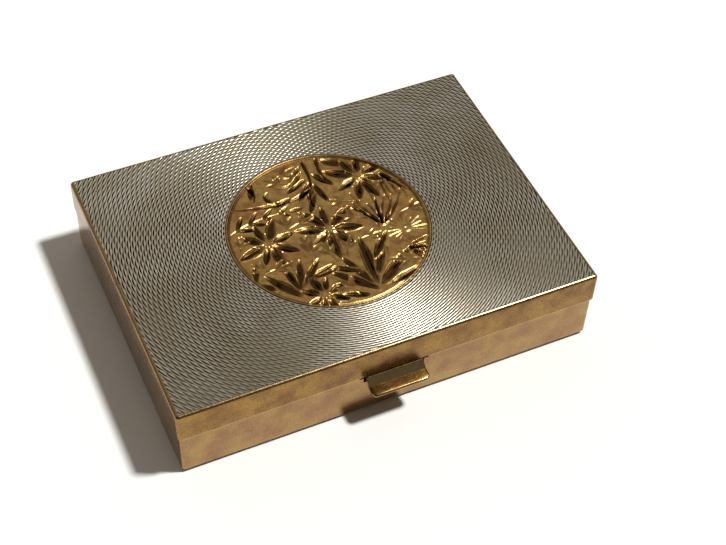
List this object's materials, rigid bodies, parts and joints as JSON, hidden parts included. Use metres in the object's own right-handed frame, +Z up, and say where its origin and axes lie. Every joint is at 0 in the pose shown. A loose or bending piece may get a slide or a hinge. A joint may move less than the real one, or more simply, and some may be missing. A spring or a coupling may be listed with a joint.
{
  "type": "powder compact",
  "caption": "Flat rectangular powder compact: hinged engine-turned lid with floral medallion and mirror, thumb catch, self-opening inner door over puff, sifter and powder",
  "frame": {"origin": "centre of the foot's flat underside, on the table, below the centre of the lid", "axes": "+X along the width to the right seen from the front, +Y to the back where the hinge is, -Y to the thumb catch, +Z up"},
  "size_m": [0.07, 0.0552, 0.0146],
  "materials": {
    "gilt_case": "worn satin gilt brass",
    "gilt_inner": "bright gilt brass",
    "silver_plate": "engine-turned silver plate, lightly tarnished",
    "medallion_gilt": "engraved bright gilt",
    "hinge_brass": "drawn brass",
    "spring_steel": "plain spring steel",
    "mirror_glass": "silvered glass",
    "backing_card": "plain card",
    "velour": "cotton velour",
    "satin": "woven satin",
    "net": "fine open net",
    "powder": "loose face powder"
  },
  "bodies": {
    "base": {"base_shell": "gilt_case", "base_deck": "gilt_inner", "powder_well": "gilt_inner", "powder_fill": "powder", "sifter_frame": "gilt_inner", "sifter_net": "net", "puff_pad": "velour", "puff_back": "satin", "puff_ribbon": "satin", "door_hinge_leaf": "gilt_inner", "door_hinge_pin": "spring_steel", "door_spring": "spring_steel", "base_hinge_leaf": "hinge_brass", "hinge_pin": "hinge_brass", "catch_bracket": "spring_steel", "catch_pin": "spring_steel", "catch_spring": "spring_steel"},
    "lid": {"lid_shell": "gilt_case", "lid_panel": "silver_plate", "medallion": "medallion_gilt", "mirror_backing": "backing_card", "mirror_glass": "mirror_glass", "mirror_frame": "gilt_inner", "lid_striker": "spring_steel", "lid_hinge_leaf": "hinge_brass"},
    "door": {"powder_door": "gilt_inner"},
    "catch": {"catch_lever": "spring_steel", "thumb_tab": "gilt_case"}
  },
  "joints": [
    {"name": "lid_hinge", "type": "hinge", "parent": "base", "child": "lid", "pos_m": [0, 0.02565, 0.00885], "axis": [-1, 0, 0], "range_deg": [0, 110]},
    {"name": "powder_door_hinge", "type": "hinge", "parent": "base", "child": "door", "pos_m": [0, 0.02135, 0.0102], "axis": [-1, 0, 0], "range_deg": [0, 70]},
    {"name": "catch_pivot", "type": "hinge", "parent": "base", "child": "catch", "pos_m": [0, -0.02305, 0.0026], "axis": [-1, 0, 0], "range_deg": [0, 8], "stiffness_Nm_per_rad": 0.08, "springref_deg": -1.72, "deforming": ["catch_spring"]}
  ],
  "couplings": [
    {"joint": "powder_door_hinge", "follows": "lid_hinge", "ratio": 0.6}
  ]
}
